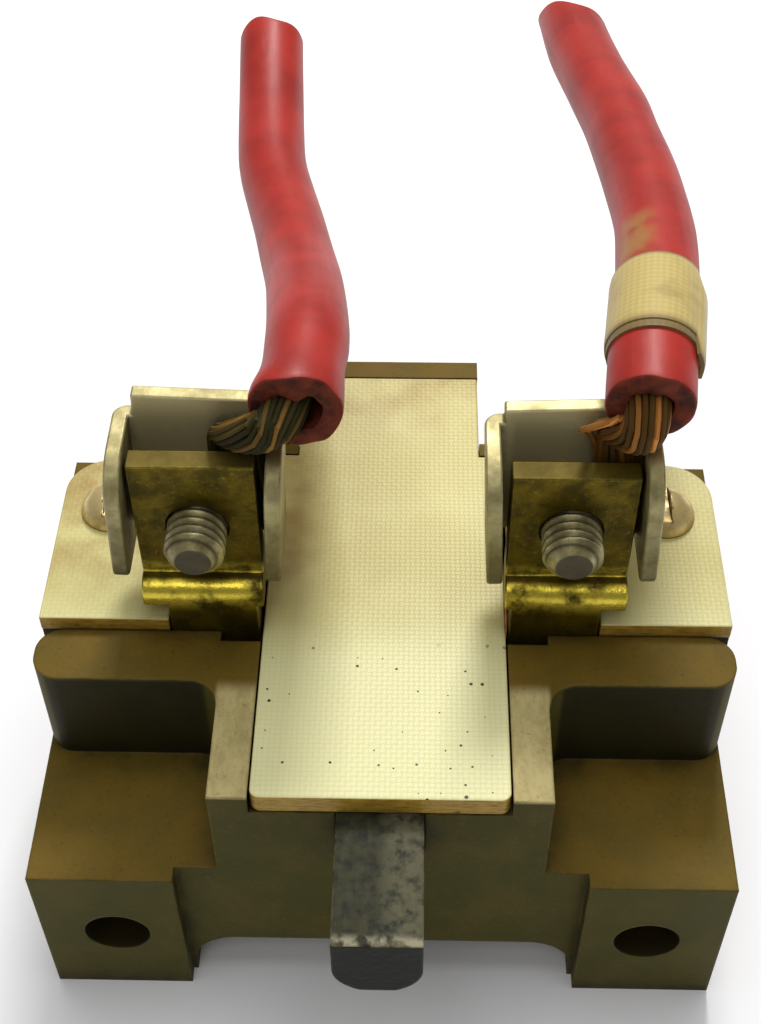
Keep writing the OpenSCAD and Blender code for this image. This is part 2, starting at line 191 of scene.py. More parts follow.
def way_it_faces(tree):
    """The X, Y and Z of the direction that the surface faces."""
    return parts(tree, add(tree, "NewGeometry").outputs["Normal"])


def between(tree, value, low, high):
    """0 at low, 1 at high, and a smooth step between them; it falls where low is above high."""
    return add(tree, "MapRange", {"Value": value, "From Min": low, "From Max": high},
               interpolation_type="SMOOTHSTEP").outputs[0]


def mottle(tree, at, scale, detail=3.0, roughness=0.55, stretch=None):
    """Cloudy noise from 0 to 1, with scale features to the metre, drawn out by stretch."""
    if stretch:
        at = add(tree, "VectorMath", {0: at, 1: stretch}, operation="MULTIPLY").outputs[0]
    return add(tree, "TexNoise", {"Vector": at, "Scale": scale, "Detail": detail,
                                  "Roughness": roughness}).outputs["Fac"]


def new_finish(name, **constant):
    """A material whose Principled BSDF has its unvarying sockets set here. Returns it with its
    tree, its shader and its place on the piece in object coordinates."""
    material = bpy.data.materials.new(name)
    material.use_nodes = True
    tree = material.node_tree
    shader = tree.nodes["Principled BSDF"]
    for socket, value in constant.items():
        shader.inputs[socket.replace("_", " ")].default_value = value
    return material, tree, shader, add(tree, "TexCoord").outputs["Object"]


def dress(tree, shader, colour, roughness, height=None, depth=0.00005, metallic=None,
          normal=None):
    """Feeds a shader its colour and roughness, and bumps its own or the given normal by height
    times depth in metres."""
    tree.links.new(colour, shader.inputs["Base Color"])
    tree.links.new(roughness, shader.inputs["Roughness"])
    if metallic is not None:
        tree.links.new(metallic, shader.inputs["Metallic"])
    if height is not None:
        bump = add(tree, "Bump", {"Height": height, "Strength": 1.0, "Distance": depth})
        if normal is not None:
            tree.links.new(normal, bump.inputs["Normal"])
        tree.links.new(bump.outputs[0], shader.inputs["Normal"])


def new_group(name, inputs, outputs):
    """A shader node group with named sockets: inputs maps a name to a number, or to None for a
    vector, and outputs maps a name to its socket type."""
    group = bpy.data.node_groups.new(name, "ShaderNodeTree")
    for socket, value in inputs.items():
        kind = "NodeSocketVector" if value is None else "NodeSocketFloat"
        made = group.interface.new_socket(socket, in_out="INPUT", socket_type=kind)
        if value is not None:
            made.default_value = value
    for socket, kind in outputs.items():
        group.interface.new_socket(socket, in_out="OUTPUT", socket_type=kind)
    given = group.nodes.new("NodeGroupInput").outputs
    return group, given, group.nodes.new("NodeGroupOutput").inputs


# Dirt and painted shade that settle in corners: how closed in a point is, broken up by a cloudy
# noise.
corner_dirt_and_shade, given, put = new_group(
    "corner_dirt_and_shade", {"At": None, "Reach": 0.0015, "Scale": 500.0, "Amount": 1.0},
    {"Mask": "NodeSocketFloat"})
closed_in = add(corner_dirt_and_shade, "AmbientOcclusion", {"Distance": given["Reach"]}, samples=6)
closed_in = between(corner_dirt_and_shade, closed_in.outputs["AO"], 0.85, 0.35)
patchy = between(corner_dirt_and_shade, mottle(corner_dirt_and_shade, given["At"], given["Scale"]), 0.3, 0.65)
dirt_and_shade_mask = sums(corner_dirt_and_shade, "MULTIPLY", closed_in, sums(corner_dirt_and_shade, "ADD", patchy, 0.35))
dirt_and_shade_mask = sums(corner_dirt_and_shade, "MULTIPLY", dirt_and_shade_mask, given["Amount"], clamp=True)
corner_dirt_and_shade.links.new(dirt_and_shade_mask, put["Mask"])

# Edges rubbed by handling: where the surface turns within a radius, broken up by noise. It
# also gives the normal of the surface with its edges rounded to that radius.
rubbed_edges, given, put = new_group(
    "rubbed_edges", {"At": None, "Radius": 0.0003, "Scale": 900.0, "Amount": 1.0},
    {"Mask": "NodeSocketFloat", "Normal": "NodeSocketVector"})
rounded = add(rubbed_edges, "Bevel", {"Radius": given["Radius"]}, samples=6)
facing = add(rubbed_edges, "NewGeometry")
agree = add(rubbed_edges, "VectorMath", {0: rounded.outputs[0], 1: facing.outputs["Normal"]},
            operation="DOT_PRODUCT")
turning = between(rubbed_edges, agree.outputs["Value"], 0.985, 0.86)
broken = between(rubbed_edges, mottle(rubbed_edges, given["At"], given["Scale"], 4.0), 0.36, 0.6)
rub_mask = sums(rubbed_edges, "MULTIPLY", turning, broken)
rub_mask = sums(rubbed_edges, "MULTIPLY", rub_mask, given["Amount"], clamp=True)
rubbed_edges.links.new(rub_mask, put["Mask"])
rubbed_edges.links.new(rounded.outputs[0], put["Normal"])


def rubbed(tree, at, radius, scale, amount):
    """The rubbed edges of a piece: Mask, and the Normal with its edges rounded to radius."""
    return add(tree, "Group", {"At": at, "Radius": radius, "Scale": scale, "Amount": amount},
               node_tree=rubbed_edges).outputs


def dirtied_and_shaded(tree, at, colour, code, amount, reach=0.0015, scale=500.0):
    """The colour with dirt and painted shade of the paint code laid in its corners, and their mask.
    """
    mask = add(tree, "Group", {"At": at, "Reach": reach, "Scale": scale, "Amount": amount},
               node_tree=corner_dirt_and_shade).outputs["Mask"]
    return laid_over(tree, mask, colour, paint(code)), mask


LEFT_ROUTE = [[-6.35, 20.2, 41.35], [-6.2, 25, 41.1], [-6.1, 29, 40.4], [-6.3, 33, 39.1],
              [-6.8, 38, 37.1], [-7.4, 43, 35.1], [-8.2, 48, 33.4], [-9.3, 54, 31.9],
              [-10.6, 60, 30.9], [-11.8, 66, 30.4], [-12.4, 72, 30.4], [-12.8, 78, 30.9],
              [-13.2, 86.5, 32.4]]
RIGHT_ROUTE = [[19.3, 19.9, 42.55], [19.9, 25, 42.9], [20.5, 29, 42.8], [21, 33, 42.4],
               [21.6, 38, 41.6], [22, 43, 40.7], [22, 48, 39.8], [21.8, 54, 38.7],
               [21.4, 60, 37.6], [21, 66, 36.5], [20.3, 72, 35.3], [19.6, 78, 34.1],
               [19, 84, 33], [18.5, 93, 31.5]]
LEFT_TURN = [[-11.4, 22.25, 27.1], [-11.4, 22.25, 35.7], [-11.2, 22, 37.3], [-10.5, 20.5, 38.8],
             [-9.3, 19.5, 40.1], [-7.8, 19.6, 41], [-6.7, 23.4, 41.1]]
RIGHT_TURN = [[18.3, 22.25, 27.1], [18.3, 22.25, 35.9], [18.3, 22, 37.7], [18.6, 20.1, 39.7],
              [18.9, 19, 41.2], [19.2, 20, 42.1], [19.7, 24, 42.7]]
JACKET_R = 3.3 * MM
AROUND = np.linspace(0, 2 * pi, 48, endpoint=False)


def hump(angle, centre, width):
    """A rounded bump of height 1 at centre degrees, width degrees wide to each side."""
    away = (np.degrees(angle) - centre + 180) % 360 - 180
    return np.exp(-(away / width) ** 2)


def jacket(name, route, bore, swell, near_cut, far_cut):
    """A tube with both ends cut. Its rows run out of the bore, over the cut face, along the
    outside and back into the far bore; bore and swell are radii by angle, and near_cut and
    far_cut say by angle how far the knife went in, in metres."""
    path, run = smooth_path(route, 0.5 * MM)
    across, over = path_axes(path)
    end, wall, body = run[-1], 0.35 * MM, run[(run > 0.9 * MM) & (run < run[-1] - 0.9 * MM)]
    deep = np.array([4.0, 2.5, 1.2, 0.5, 0.12]) * MM
    face = np.array([0.12, 0.4, 0.65, 0.86, 0.97])
    face_in = np.array([0.0, -0.02, -0.01, 0.03, 0.16]) * MM
    rest = np.array([0.4, 0.65]) * MM
    at = np.concatenate([deep, face_in, rest, body, end - rest[::-1], end - face_in[::-1],
                         end - deep[::-1]])
    share = np.concatenate([deep * 0, face, rest * 0 + 1, body * 0 + 1, rest * 0 + 1,
                            face[::-1], deep * 0])
    cut = np.concatenate([deep * 0 + 1, [1, 1, 1, 1, 0.5], rest * 0, body * 0, rest * 0,
                          [0.5, 1, 1, 1, 1], deep * 0 + 1])
    theta = AROUND[None, :]
    near = np.clip(1 - at / (6 * MM), 0, 1)[:, None] ** 0.5 * near_cut(theta)
    far = np.clip(1 - (end - at) / (9 * MM), 0, 1)[:, None] * far_cut(theta)
    s = at[:, None] + near - far
    radius = share[:, None] * (JACKET_R + swell(s, theta)) + (1 - share[:, None]) * bore(theta)
    where, side, up = (np.stack([np.interp(s, run, v[:, k]) for k in range(3)], axis=-1)
                       for v in (path, across, over))
    grid = where + radius[..., None] * (np.cos(theta)[..., None] * side
                                        + np.sin(theta)[..., None] * up)
    lay = np.stack(np.broadcast_arrays(at[:, None], np.linspace(0, 2 * pi, 49)[None] * JACKET_R),
                   axis=-1)
    return surface(name, [grid], [lay], {"cut": [np.broadcast_to(cut[:, None], s.shape)]})


def conductor(name, turn, route, clamp_half, stray, short):
    """Strands laid one in the middle and 6, 12 and 18 round it, each a tube round the shared
    path plus its own place in the bundle. The bundle twists once in 90 mm, and is pressed flat
    to clamp_half where the clamp holds it; stray pushes chosen strands out on the way. It
    stops short of the route's end."""
    path, run = smooth_path(turn + route[2:], 0.6 * MM)
    path, run = path[run < run[-1] - short], run[run < run[-1] - short]
    across, over = path_axes(path)
    strand_r, gap = 0.24 * MM, 0.245 * MM
    layer = np.array([0] + [1] * 6 + [2] * 12 + [3] * 18)
    first = np.concatenate([[0], np.arange(6) * 60, np.arange(12) * 30 + 15, np.arange(18) * 20])
    pressed = np.clip(1 - (run - 10 * MM) / (6 * MM), 0, 1)[:, None]
    pressed = pressed * pressed * (3 - 2 * pressed)
    phase = np.radians(first)[None] + 2 * pi * (run[:, None] / (90 * MM))
    reach = layer[None] * 2 * gap
    x = reach * np.cos(phase) * (1 + pressed * (clamp_half[0] * MM / (6 * gap) - 1))
    y = reach * np.sin(phase) * (1 + pressed * (clamp_half[1] * MM / (6 * gap) - 1))
    x = x + 0.05 * MM * np.sin(run[:, None] * 700 + first[None])
    bow = np.exp(-((run[:, None] / MM - 12.5) / 2.6) ** 2) * MM
    x = x + stray[0][None] * bow
    y = y + stray[1][None] * bow
    theta = np.linspace(0, 2 * pi, 7, endpoint=False)
    grids = []
    for k in range(len(layer)):
        line = path + x[:, k:k + 1] * across + y[:, k:k + 1] * over
        side, up = path_axes(line)
        grids.append(line[:, None] + strand_r * (np.cos(theta)[None, :, None] * side[:, None]
                                                 + np.sin(theta)[None, :, None] * up[:, None]))
    tone = np.random.default_rng(7).random(len(layer))
    shape = grids[0].shape[:2]
    return surface(name, grids, marks={
        "tone": [np.full(shape, t) for t in tone],
        "run": [np.broadcast_to(run[:, None] / MM, shape)] * len(layer)})


def insulation_finish(name, stain=None):
    """Red PVC: a dull gloss, scuffed along its length, brown where it was cut, and with a
    rubbed ochre stain where stain gives two distances along it."""
    material, tree, shader, at = new_finish(name, Specular_IOR_Level=0.3)
    lay = add(tree, "UVMap", uv_map="lay").outputs[0]
    colour = laid_over(tree, between(tree, mottle(tree, at, 160), 0.35, 0.7), paint("B03028"),
                       paint("98261F"))
    scuffs = mottle(tree, lay, 700, 4.0, 0.6, stretch=(0.16, 1.6, 1.0))
    colour = tinted(tree, between(tree, scuffs, 0.6, 0.78), 0.35, colour, "BE5048")
    grime = between(tree, mottle(tree, at, 330, 5.0, 0.65), 0.52, 0.74)
    colour = tinted(tree, grime, 0.22, colour, "641C18")
    if stain:
        along = parts(tree, lay)
        band = sums(tree, "MULTIPLY", between(tree, along["X"], stain[0], stain[0] + 0.003),
                    between(tree, along["X"], stain[1], stain[1] - 0.003))
        patch = sums(tree, "MULTIPLY", between(tree, along["Y"], 0.0050, 0.0068),
                     between(tree, along["Y"], 0.0108, 0.0082))
        band = sums(tree, "MULTIPLY", sums(tree, "MULTIPLY", band, patch),
                    between(tree, mottle(tree, at, 420, 4.0), 0.25, 0.6))
        colour = tinted(tree, band, 0.8, colour, "A07A40")
    cut = add(tree, "Attribute", attribute_name="cut").outputs["Fac"]
    colour = laid_over(tree, cut, colour, laid_over(
        tree, between(tree, mottle(tree, at, 700), 0.3, 0.7), paint("3C1408"), paint("742E14")))
    roughness = sums(tree, "ADD", sums(tree, "MULTIPLY", scuffs, 0.18),
                     sums(tree, "ADD", sums(tree, "MULTIPLY", cut, 0.3), 0.36))
    height = sums(tree, "ADD", mottle(tree, at, 420, 3.0), sums(tree, "MULTIPLY", scuffs, 0.4))
    height = sums(tree, "ADD", height, sums(tree, "MULTIPLY", cut, sums(
        tree, "MULTIPLY", mottle(tree, at, 1600), 4.0)))
    dress(tree, shader, colour, roughness, height, 0.00004)
    return material


def strand_finish(name, dark, warm, bright, highlight_amount):
    """Copper strands, each with its own tone: dark oxide on most, and a painted highlight of bright
    copper on some strands where they leave the jacket."""
    material, tree, shader, at = new_finish(name, Specular_IOR_Level=0.25)
    tone = add(tree, "Attribute", attribute_name="tone").outputs["Fac"]
    run = add(tree, "Attribute", attribute_name="run").outputs["Fac"]
    colour = laid_over(tree, between(tree, tone, 0.2, 0.9), paint(dark), paint(warm))
    # Painted highlight: a short band of the strands next to the jacket is painted bright copper.
    highlight_band = sums(tree, "MULTIPLY", between(tree, run, 10.5, 13.5), between(tree, run, 18.0, 15.0))
    streak = between(tree, tone, 0.4, 0.95)
    painted_highlight = sums(tree, "MULTIPLY", sums(tree, "MULTIPLY", highlight_band, streak), highlight_amount)
    colour = laid_over(tree, painted_highlight, colour, paint(bright))
    roughness = sums(tree, "SUBTRACT", 0.7, sums(tree, "MULTIPLY", painted_highlight, 0.4))
    dress(tree, shader, colour, roughness, mottle(tree, at, 2500), 0.00003,
          sums(tree, "ADD", sums(tree, "MULTIPLY", painted_highlight, 0.4), 0.3, clamp=True))
    return material


left_jacket = piece("left_wire_jacket", jacket(
    "left_wire_jacket", LEFT_ROUTE,
    lambda a: (1.85 - 0.8 * hump(a, 84, 26) + 0.1 * hump(a, 180, 40)) * MM,
    lambda s, a: MM * (0.38 * np.exp(-((s / MM - 0.9) / 1.9) ** 2) * (0.25 + hump(a, 150, 60))
                       - 0.13 * np.exp(-((s / MM - 5.2) / 2.2) ** 2)
                       + 0.03 * np.sin(s / MM * 0.35 + a)),
    lambda a: MM * (0.28 + 0.16 * np.sin(2 * a + 1) + 0.10 * np.sin(5 * a + 2)
                    + 0.07 * np.sin(9 * a) - 0.3 * hump(a, 100, 22)),
    lambda a: MM * (0.5 + 0.35 * np.sin(2 * a) + 0.15 * np.sin(5 * a + 1))),
    insulation_finish("red_insulation_left"))
right_jacket = piece("right_wire_jacket", jacket(
    "right_wire_jacket", RIGHT_ROUTE,
    lambda a: (1.75 - 0.5 * hump(a, 95, 55)) * MM,
    lambda s, a: MM * 0.03 * np.sin(s / MM * 0.4 + 2 * a),
    lambda a: MM * (0.16 + 0.10 * np.sin(3 * a + 0.5) + 0.05 * np.sin(8 * a)),
    lambda a: MM * (2.9 + 2.6 * np.cos(a) + 2.4 * np.sin(a) + 0.25 * np.sin(5 * a))),
    insulation_finish("red_insulation_right", (0.0130, 0.0225)))
still = np.zeros(37)
left_strands = piece("left_wire_conductor", conductor(
    "left_wire_conductor", LEFT_TURN, LEFT_ROUTE, (2.0, 0.9), (still, still), 1.8 * MM),
    strand_finish("left_strand_copper", "302C10", "5A4A1E", "C08A3C", 0.45))
stray_x = still.copy()
stray_y = still.copy()
stray_x[[28, 29, 27, 30, 13, 14]] = (-2.6, -2.1, -1.6, -1.2, -0.8, -0.6)
stray_y[[28, 29, 27]] = (0.5, 0.2, 0.1)
right_strands = piece("right_wire_conductor", conductor(
    "right_wire_conductor", RIGHT_TURN, RIGHT_ROUTE, (2.0, 0.9), (stray_x, stray_y),
    6.4 * MM),
    strand_finish("right_strand_copper", "543A12", "8E5E24", "F0A050", 0.7))

# The right wire's marker is a strip of pale cloth wound twice round the wire and glued.
WRAP_FROM, WRAP_TO = 5.5 * MM, 13.7 * MM
WRAP_R = 3.7 * MM
WRAP_ROWS = np.array([0, 0, 0.08, 0.2, 0.8, 0.92, 1, 1])[:, None]
path, run = smooth_path(RIGHT_ROUTE, 0.5 * MM)
across, over = path_axes(path)
theta = np.linspace(0, 2 * pi, 96, endpoint=False)


def wrap_layer(start, stop, inner, outer, loose):
    """One closed band round the wire: its rim goes round inner and outer in turn. loose is 1 by
    angle where the strip's end lies over the rest, and there the band is thicker and slants
    towards the wire's near end."""
    share = np.array([0, 0.7, 1, 1, 1, 1, 0.7, 0])
    s = start + (stop - start) * WRAP_ROWS + 0.10 * MM * np.sin(2 * theta + 1)[None]
    s = s - 1.5 * MM * loose[None]
    radius = inner + share[:, None] * (outer - inner + 0.17 * MM * loose[None])
    where, side, up = (np.stack([np.interp(s, run, v[:, k]) for k in range(3)], axis=-1)
                       for v in (path, across, over))
    return where + radius[..., None] * (np.cos(theta)[None, :, None] * side
                                        + np.sin(theta)[None, :, None] * up)


def wrap_lay(start, stop):
    """The band's UV map: distance along the wire and distance round it."""
    return np.stack(np.broadcast_arrays(start + (stop - start) * WRAP_ROWS,
                                        np.linspace(0, 2 * pi, 97)[None] * WRAP_R), axis=-1)


turned = (theta + pi) % (2 * pi) - pi
loose_end = np.clip((0.62 - turned) / 0.07, 0, 1) * np.clip((turned + 0.6) / 0.4, 0, 1)
under_band = wrap_layer(WRAP_FROM - 0.5 * MM, WRAP_TO, 3.34 * MM, 3.56 * MM, 0 * theta)
over_band = wrap_layer(WRAP_FROM + 0.1 * MM, WRAP_TO - 0.1 * MM, 3.5 * MM, WRAP_R, loose_end)
marker_cloth, tree, shader, at = new_finish("marker_cloth", Sheen_Weight=0.2, Sheen_Roughness=0.5)
lay = add(tree, "UVMap", uv_map="lay").outputs[0]
threads = add(tree, "TexWave", {"Vector": lay, "Scale": 620.0, "Distortion": 0.6, "Detail": 1.0},
              bands_direction="X").outputs["Fac"]
picks = add(tree, "TexWave", {"Vector": lay, "Scale": 620.0, "Distortion": 0.6, "Detail": 1.0},
            bands_direction="Y").outputs["Fac"]
cloth = sums(tree, "MULTIPLY", sums(tree, "ADD", threads, picks), 0.5)
colour = laid_over(tree, cloth, paint("B8A25C"), paint("C8B46C"))
colour = tinted(tree, between(tree, mottle(tree, at, 300, 5.0), 0.5, 0.72), 0.5, colour, "987A38")
lengthwise = parts(tree, lay)["X"]
rim = sums(tree, "MAXIMUM", between(tree, lengthwise, WRAP_FROM + 0.7 * MM, WRAP_FROM - 0.1 * MM),
           between(tree, lengthwise, WRAP_TO - 0.5 * MM, WRAP_TO))
colour = tinted(tree, rim, 0.8, colour, "5E4414")
dress(tree, shader, colour, sums(tree, "ADD", sums(tree, "MULTIPLY", cloth, 0.2), 0.55), cloth,
      0.00002)
marker = piece("right_wire_wrap", surface(
    "right_wire_wrap", [under_band, over_band],
    [wrap_lay(WRAP_FROM - 0.5 * MM, WRAP_TO), wrap_lay(WRAP_FROM, WRAP_TO)]), marker_cloth)

for side, jacket_piece, strands, route, others in (
        ("left", left_jacket, left_strands, LEFT_ROUTE, [left_strands]),
        ("right", right_jacket, right_strands, RIGHT_ROUTE, [right_strands, marker])):
    run = smooth_path(route, 0.5 * MM)[1]
    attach(jacket_piece, "base")
    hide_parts(side + "_wire")
    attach(strands, "base")
    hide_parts(side + "_wire_strands")
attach(marker, "base")
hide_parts("right_wire_marker")

# ---- Table and light ------------------------------------------------------------------------
# A plain pale table. The main lamp stands behind and above the block, and a large soft lamp
# overhead and a weak one in front open the shadows.
floor_mesh = bpy.data.meshes.new("table")
floor_mesh.from_pydata([(x, y, -0.0089) for x, y in ((-2, -2), (2, -2), (2, 2), (-2, 2))], [],
                       [(0, 1, 2, 3)])
table_white, tree, shader, at = new_finish("table_white")
dress(tree, shader, laid_over(tree, mottle(tree, at, 3), paint("F6F6F8"), paint("F2F3F7")),
      sums(tree, "ADD", sums(tree, "MULTIPLY", mottle(tree, at, 40), 0.1), 0.55))
table = piece("table", floor_mesh, table_white)


def lamp(name, energy, size, colour, at, aim):
    """A square area lamp at a point, turned to face aim."""
    data = bpy.data.lights.new(name, "AREA")
    data.energy, data.size, data.color = energy, size, colour
    lamp_object = bpy.data.objects.new(name, data)
    away = np.array(at) - np.array(aim)
    z = away / np.linalg.norm(away)
    x = np.cross((0.0, 1.0, 0.0), z)
    x /= np.linalg.norm(x)
    y = np.cross(z, x)
    lamp_object.matrix_world = Matrix(
        [[x[i], y[i], z[i], at[i]] for i in range(3)] + [[0, 0, 0, 1]])
    bpy.context.scene.collection.objects.link(lamp_object)


lamp("lamp_behind", 3.2, 0.14, (1.0, 0.98, 0.94), (0.05, 0.48, 0.58), (0, 0.03, 0.01))
lamp("lamp_overhead", 3.4, 0.7, (0.98, 0.98, 1.0), (0.0, 0.18, 0.8), (0, 0.02, 0.01))
lamp("lamp_front", 1.2, 0.4, (1.0, 0.98, 0.95), (-0.1, -0.5, 0.8), (0, 0.02, 0.01))
world = bpy.data.worlds.new("room")
world.use_nodes = True
world.node_tree.nodes["Background"].inputs[0].default_value = (1.0, 0.99, 0.95, 1.0)
world.node_tree.nodes["Background"].inputs[1].default_value = 0.21
bpy.context.scene.world = world


# ---- Housing --------------------------------------------------------------------------------
# One brown phenolic moulding: two feet with mounting holes, a deck with a guide channel down
# its middle, and two deep contact chambers. Its rails in front are ground flat and pale.
def merged(node_name):
    """A bmesh copy of a CAD solid with its loose corners merged and its coplanar triangles
    joined into flats."""
    work = bmesh.new()
    work.from_mesh(frame["nodes"][node_name].data)
    bmesh.ops.remove_doubles(work, verts=work.verts, dist=2e-6)
    bmesh.ops.dissolve_limit(work, angle_limit=radians(0.4), verts=work.verts, edges=work.edges)
    return work


def eased(name, node_name, material, width=0.0, segments=2, turn=30):
    """A piece from a CAD solid with every edge that turns more than turn degrees eased by a
    narrow bevel, so that it catches the light as a real edge does; at width 0 its edges stay
    sharp, and its finish rounds their shading."""
    work = merged(node_name)
    mesh = bpy.data.meshes.new(name)
    work.to_mesh(mesh)
    work.free()
    if "custom_normal" in mesh.attributes:
        mesh.attributes.remove(mesh.attributes["custom_normal"])
    made = piece(name, mesh, material, turn)
    if not width:
        return made
    bevel = made.modifiers.new("eased_edges", "BEVEL")
    bevel.width, bevel.segments, bevel.limit_method = width, segments, "ANGLE"
    bevel.angle_limit = radians(turn)
    bevel.use_clamp_overlap, bevel.harden_normals = False, True
    return made


hole = frame["record"]["mounts"][0]["dims"]
HOLE_X, HOLE_R = hole["spacing_x_mm"] / 2 * MM, hole["hole_r_mm"] * MM
brown_phenolic, tree, shader, at = new_finish("brown_phenolic", Specular_IOR_Level=0.16)
facing = way_it_faces(tree)
upward = facing["Z"]
clouds = mottle(tree, at, 210, 5.0, 0.6)
speckle = mottle(tree, at, 2600, 3.0, 0.7)
colour = laid_over(tree, between(tree, clouds, 0.35, 0.68), paint("46420F"), paint("524A18"))
# Painted light: faces turned up are painted a lighter, warmer brown than the sides.
colour = laid_over(tree, sums(tree, "MULTIPLY", between(tree, upward, 0.5, 0.95), sums(
    tree, "ADD", sums(tree, "MULTIPLY", between(tree, mottle(tree, at, 260, 5.0), 0.3, 0.7), 0.4),
    0.5)), colour, paint("6E5614"))
place = parts(tree, at)
ground_flat = sums(tree, "MULTIPLY", between(tree, place["Z"], 0.0190, 0.0192), sums(
    tree, "MULTIPLY", between(tree, sums(tree, "ABSOLUTE", place["X"]), 0.0135, 0.0131),
    between(tree, place["Y"], 0.0125, 0.0108)))
streaks = mottle(tree, at, 800, 5.0, 0.65, stretch=(1.0, 0.5, 1.0))
colour = laid_over(tree, sums(tree, "MULTIPLY", ground_flat, sums(
    tree, "ADD", sums(tree, "MULTIPLY", between(tree, streaks, 0.3, 0.65), 0.35), 0.6)), colour,
                   paint("BEB07A"))
colour = tinted(tree, between(tree, speckle, 0.58, 0.75), 0.3, colour, "7E6C3C")
colour = tinted(tree, between(tree, speckle, 0.42, 0.28), 0.4, colour, "2A2410")
rub = rubbed(tree, at, 0.00035, 700.0, 0.5)
colour = laid_over(tree, rub["Mask"], colour, paint("7E6E40"))
# Painted shade: the front-facing walls of the recesses above the feet are painted near black.
painted_recess_shade = sums(tree, "MULTIPLY", between(tree, facing["Y"], -0.80, -0.92), sums(
    tree, "MULTIPLY", between(tree, place["Y"], 0.008, 0.0085),
    between(tree, place["Z"], 0.01928, 0.0189)))
colour = tinted(tree, painted_recess_shade, 0.75, colour, "12110A")
# Painted shade: the inner walls of the mounting holes are painted dark.
from_hole = add(tree, "CombineXYZ", {
    0: sums(tree, "SUBTRACT", sums(tree, "ABSOLUTE", place["X"]), HOLE_X), 2: place["Z"]})
from_hole = add(tree, "VectorMath", {0: from_hole.outputs[0]}, operation="LENGTH").outputs["Value"]
painted_hole_shade = between(tree, from_hole, HOLE_R + 0.05 * MM, HOLE_R + 0.01 * MM)
colour = laid_over(tree, sums(tree, "MULTIPLY", painted_hole_shade, sums(
    tree, "MULTIPLY", between(tree, facing["Y"], -0.9, -0.5), 0.85)), colour, paint("141108"))
# Painted shade, with some dirt: with a 4 mm reach the corner group darkens the housing's corners
# and recesses.
colour, dirt_and_shade = dirtied_and_shaded(tree, at, colour, "1A170B", 0.7, reach=0.004, scale=380.0)
roughness = sums(tree, "ADD", sums(tree, "MULTIPLY", clouds, 0.2), 0.5)
dress(tree, shader, colour, roughness,
      sums(tree, "ADD", sums(tree, "MULTIPLY", speckle, 0.5), clouds), 0.00005,
      normal=rub["Normal"])
housing = eased("block_moulding", "housing", brown_phenolic)
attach(housing, "base")
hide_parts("housing")

# ---- Laminate cover and terminal boards -------------------------------------------------------
# Cream woven-glass laminate, sawn to size: a cover that closes the guide channel, let into the
# deck, and two boards that lie on the deck under the clamps. Their cut edges show amber layers.
glass_weave, given, put = new_group(
    "glass_weave", {"At": None, "Pitch": 0.00043},
    {"Height": "NodeSocketFloat", "Gaps": "NodeSocketFloat"})
place = parts(glass_weave, given["At"])
wander = sums(glass_weave, "MULTIPLY", mottle(glass_weave, given["At"], 120), 0.00025)
cells, crowns = [], []
for axis in "XY":
    cell = sums(glass_weave, "ADD", place[axis], wander)
    cell = sums(glass_weave, "DIVIDE", cell, given["Pitch"])
    crown = sums(glass_weave, "ABSOLUTE", sums(glass_weave, "SINE",
                                               sums(glass_weave, "MULTIPLY", cell, pi)))
    cells.append(sums(glass_weave, "FLOOR", cell))
    crowns.append(crown)
odd = sums(glass_weave, "ABSOLUTE", sums(glass_weave, "MODULO",
                                         sums(glass_weave, "ADD", *cells), 2.0))
on_top = add(glass_weave, "Mix", {0: odd, 2: crowns[0], 3: crowns[1]}).outputs[0]
glass_weave.links.new(on_top, put["Height"])
gaps = sums(glass_weave, "MULTIPLY", between(glass_weave, crowns[0], 0.5, 0.12),
            between(glass_weave, crowns[1], 0.5, 0.12))
lines = sums(glass_weave, "MAXIMUM", between(glass_weave, crowns[0], 0.42, 0.1),
             between(glass_weave, crowns[1], 0.42, 0.1))
glass_weave.links.new(sums(glass_weave, "ADD", gaps, sums(glass_weave, "MULTIPLY", lines, 0.35),
                           clamp=True), put["Gaps"])

cream_laminate, tree, shader, at = new_finish("cream_laminate", Specular_IOR_Level=0.3)
place = parts(tree, at)
facing = way_it_faces(tree)["Z"]
weave = add(tree, "Group", {"At": at}, node_tree=glass_weave).outputs
strong = between(tree, mottle(tree, at, 90, 3.0), 0.36, 0.64)
colour = laid_over(tree, strong, paint("CEC684"), paint("C4BA74"))
# Painted light: the laminate is painted paler towards the front, where it was lit more brightly.
painted_front_light = sums(tree, "MULTIPLY", between(tree, place["Y"], 0.021, 0.0135), 0.85)
colour = laid_over(tree, painted_front_light, colour, paint("E2E0AA"))
colour = laid_over(tree, sums(tree, "MULTIPLY", weave["Gaps"], sums(
    tree, "ADD", sums(tree, "MULTIPLY", strong, 0.13), 0.09)), colour, paint("9C8F54"))
# A brown stain along the back, and a painted shadow of the left clamp to the left of the middle;
# the stain mask lays both.
back_stain = between(tree, place["Y"], 0.0375, 0.0475)
painted_clamp_shadow = sums(tree, "MULTIPLY", between(tree, place["X"], -0.0035, -0.0088), sums(
    tree, "MULTIPLY", between(tree, place["Y"], 0.016, 0.027),
    between(tree, place["Y"], 0.044, 0.037)))
stain = sums(tree, "MULTIPLY", sums(tree, "MAXIMUM", back_stain, painted_clamp_shadow),
             between(tree, mottle(tree, at, 240, 4.0), 0.28, 0.7))
colour = tinted(tree, stain, 0.75, colour, "9A7C3C")
flecks = add(tree, "TexVoronoi", {"Vector": at, "Scale": 560.0}, feature="F1",
             voronoi_dimensions="2D")
draw = parts(tree, flecks.outputs["Color"])
near_front = sums(tree, "MULTIPLY", between(tree, place["Y"], 0.0175, 0.0145),
                  between(tree, sums(tree, "ADD", sums(tree, "MULTIPLY", place["X"], 20.0),
                                     draw["X"]), 0.54, 0.56))
fleck = sums(tree, "SUBTRACT", flecks.outputs["Distance"], sums(tree, "MULTIPLY", draw["Y"], 0.07))
